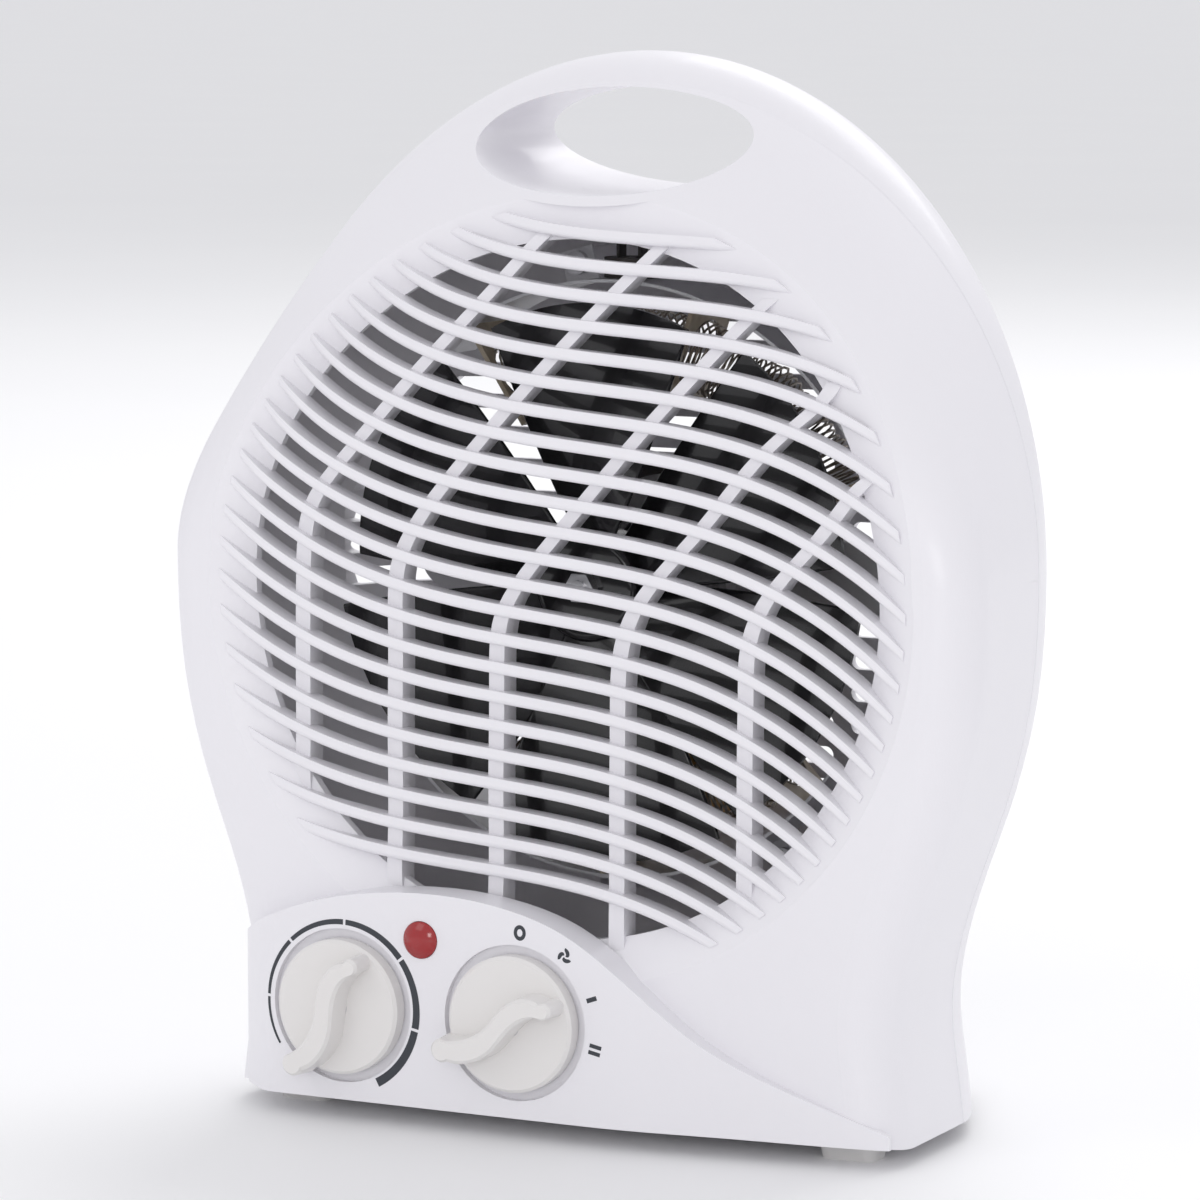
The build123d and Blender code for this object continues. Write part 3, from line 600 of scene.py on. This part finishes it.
# ---------------------------------------------------------------- heating wire
@dataclass
class HeatingWire:
    """Open wound resistance wire, bent round the fan's axis.

    Angles are in degrees round the axis, from the right-hand side upwards. Lengths are in metres.
    `uneven` holds the sizes and rates of two slow swells in the winding's radius.
    """

    half: str
    first: float
    last: float
    axis_z: float = 0.135
    middle_r: float = 0.059
    wound_r: float = 0.0088
    middle_y: float = 0.004
    wire_r: float = 0.00032
    turns_each_degree: float = 0.72
    steps_each_turn: int = 14
    uneven: tuple[tuple[float, float], ...] = ((0.05, 37.0), (0.04, 91.0))

    def point(self, number: int, count: int) -> Place:
        """One point of the wound line.

        Args:
            number: the point's number from 0.
            count: how many points the line has.

        Returns:
            Its place.
        """
        share = number / (count - 1)
        along = math.radians(self.first + (self.last - self.first) * share)
        spin = 2 * math.pi * number / self.steps_each_turn
        wobble = 1.0
        for size, rate in self.uneven:
            wobble += size * math.sin(along * rate)
        wound = self.wound_r * wobble
        radius = self.middle_r + wound * math.cos(spin)
        depth = self.middle_y + wound * math.sin(spin)
        return radius * math.cos(along), depth, self.axis_z + radius * math.sin(along)

    def build(self) -> None:
        """Wind the wire and let it stand for the plain rod of the same half."""
        turns = int((self.last - self.first) * self.turns_each_degree)
        count = turns * self.steps_each_turn + 1
        deselect()
        bpy.ops.curve.primitive_nurbs_path_add()
        wire = bpy.context.object
        wire.name = f"wire_{self.half}"
        curve = wire.data
        curve.splines.clear()
        line = curve.splines.new("POLY")
        line.points.add(count - 1)
        for number in range(count):
            line.points[number].co = (*self.point(number, count), 1.0)
        curve.dimensions = "3D"
        curve.bevel_depth = self.wire_r
        curve.bevel_resolution = 1
        curve.use_fill_caps = True
        deselect()
        wire.select_set(True)
        bpy.context.view_layer.objects.active = wire
        bpy.ops.object.convert(target="MESH")
        bpy.ops.object.shade_smooth()
        settle(wire, "heating_wire", "casing")
        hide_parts(f"heating_coil_{self.half}")


# ---------------------------------------------------------------- dial marks
@dataclass
class DialPrint:
    """Charcoal marks printed on the control panel round the two knobs.

    Lengths are in millimetres. Angles are in degrees round a knob, from its right-hand side upwards.
    """

    level: float = 29.5
    thermostat_x: float = -54.4
    selector_x: float = -5.7
    band_middle: float = 21.2
    band_from: float = 212.0
    band_to: float = -62.0
    band_thin: float = 0.6
    band_thick: float = 2.3
    breaks: tuple[float, ...] = (178.0, 134.0, 88.0, 38.0, -12.0)
    break_width: float = 0.7
    marks_r: float = 22.7
    off_angle: float = 86.0
    off_outer: float = 1.95
    off_inner: float = 0.95
    outer_squeeze: float = 0.86
    inner_squeeze: float = 0.8
    fan_angle: float = 52.0
    fan_r: float = 2.1
    low_angle: float = 20.0
    low_bar: tuple[float, float] = (2.8, 1.15)
    high_angle: float = -12.0
    high_bar: tuple[float, float] = (3.2, 1.0)
    high_apart: float = 0.85
    start_y: float = -56.0
    lift: float = 0.04
    steps: int = 24
    lines: list[list[tuple[float, float]]] = field(default_factory=list)

    def polar(self, middle: float, radius: float, angle: float) -> tuple[float, float]:
        """A place at a radius and an angle round a knob's centre."""
        turn = math.radians(angle)
        return middle + radius * math.cos(turn), self.level + radius * math.sin(turn)

    def band(self) -> None:
        """Draw the thermostat's swelling band, cut by narrow breaks."""
        half_break = math.degrees(self.break_width / 2 / self.band_middle)
        ends = [self.band_from]
        for angle in self.breaks:
            ends += [angle + half_break, angle - half_break]
        ends.append(self.band_to)
        for first, last in zip(ends[0::2], ends[1::2]):
            outer, inner = [], []
            for step in range(self.steps + 1):
                angle = first + (last - first) * step / self.steps
                share = (self.band_from - angle) / (self.band_from - self.band_to)
                half = (self.band_thin + (self.band_thick - self.band_thin) * share) / 2
                outer.append(self.polar(self.thermostat_x, self.band_middle + half, angle))
                inner.append(self.polar(self.thermostat_x, self.band_middle - half, angle))
            self.lines.append(outer + inner[::-1])

    def off_ring(self) -> None:
        """Draw the small upright ring of the off position."""
        x, z = self.polar(self.selector_x, self.marks_r, self.off_angle)
        turns = [2 * math.pi * step / self.steps for step in range(self.steps)]
        for radius, squeeze in ((self.off_outer, self.outer_squeeze), (self.off_inner, self.inner_squeeze)):
            self.lines.append([(x + radius * squeeze * math.cos(t), z + radius * math.sin(t)) for t in turns])

    def bar(self, angle: float, size: tuple[float, float], aside: float) -> None:
        """Draw a short bar that points at the selector's centre.

        Args:
            angle: where it stands round the knob.
            size: its length and thickness.
            aside: how far it is moved sideways.
        """
        x, z = self.polar(self.selector_x, self.marks_r, angle)
        turn = math.radians(angle)
        length, thick = size
        places = []
        for along, across in ((-1, -1), (1, -1), (1, 1), (-1, 1)):
            run = along * length / 2
            side = aside + across * thick / 2
            place_x = x + run * math.cos(turn) - side * math.sin(turn)
            place_z = z + run * math.sin(turn) + side * math.cos(turn)
            places.append((place_x, place_z))
        self.lines.append(places)

    def fan_blades(self) -> None:
        """Draw the three curved blades of the fan-only position."""
        x, z = self.polar(self.selector_x, self.marks_r, self.fan_angle)
        blades, hub, sweep, breadth, root, taper = 3, 0.12, 1.5, 0.85, 0.1, 0.25
        for blade in range(blades):
            start = 2 * math.pi * blade / blades
            outer, inner = [], []
            for step in range(self.steps + 1):
                share = step / self.steps
                reach = self.fan_r * (hub + (1 - hub) * share)
                turn = start + sweep * share
                swell = math.sin(math.pi * min(1.0, share * (1 - root) + root))
                half = breadth * swell * (1 - taper * share)
                outer.append((x + reach * math.cos(turn + half), z + reach * math.sin(turn + half)))
                inner.append((x + reach * math.cos(turn - half), z + reach * math.sin(turn - half)))
            self.lines.append(outer + inner[::-1])

    def draw(self) -> None:
        """Draw every mark's outline."""
        self.band()
        self.off_ring()
        self.fan_blades()
        self.bar(self.low_angle, self.low_bar, 0.0)
        self.bar(self.high_angle, self.high_bar, self.high_apart)
        self.bar(self.high_angle, self.high_bar, -self.high_apart)

    def fill(self) -> bpy.types.Object:
        """Make one flat mesh of all the outlines, upright in front of the panel.

        Returns:
            The mesh object, with its place applied.
        """
        deselect()
        bpy.ops.curve.primitive_bezier_circle_add()
        marks = bpy.context.object
        marks.name = "dial_print"
        curve = marks.data
        curve.splines.clear()
        curve.dimensions = "2D"
        curve.fill_mode = "BOTH"
        for places in self.lines:
            line = curve.splines.new("POLY")
            line.points.add(len(places) - 1)
            line.use_cyclic_u = True
            for number, (x, z) in enumerate(places):
                line.points[number].co = (x * MM, z * MM, 0.0, 1.0)
        bpy.ops.object.convert(target="MESH")
        marks.rotation_euler = (math.pi / 2, 0.0, 0.0)
        marks.location = (0.0, self.start_y * MM, 0.0)
        bpy.ops.object.transform_apply(location=True, rotation=True, scale=True)
        return marks

    def build(self) -> None:
        """Draw the marks and lay them on the panel."""
        self.draw()
        marks = self.fill()
        wrap = marks.modifiers.new("lay_on", "SHRINKWRAP")
        wrap.wrap_method = "PROJECT"
        wrap.use_project_y = True
        wrap.use_positive_direction = True
        wrap.use_negative_direction = False
        wrap.target = frame["nodes"]["front_housing"]
        wrap.offset = self.lift * MM
        bpy.ops.object.modifier_apply(modifier=wrap.name)
        settle(marks, "dial_print", "casing")


def main() -> None:
    """Build the studio, dress the parts and add the pieces that are made here."""
    logging.basicConfig(level=logging.INFO, format="%(name)s: %(message)s")
    clear_start_up()
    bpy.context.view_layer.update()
    Studio().build()
    Wardrobe.dress_frame()
    HeatingWire("upper", 20.0, 125.0).build()
    HeatingWire("lower", -140.0, -45.0).build()
    DialPrint().build()


if __name__ == "__main__":
    main()
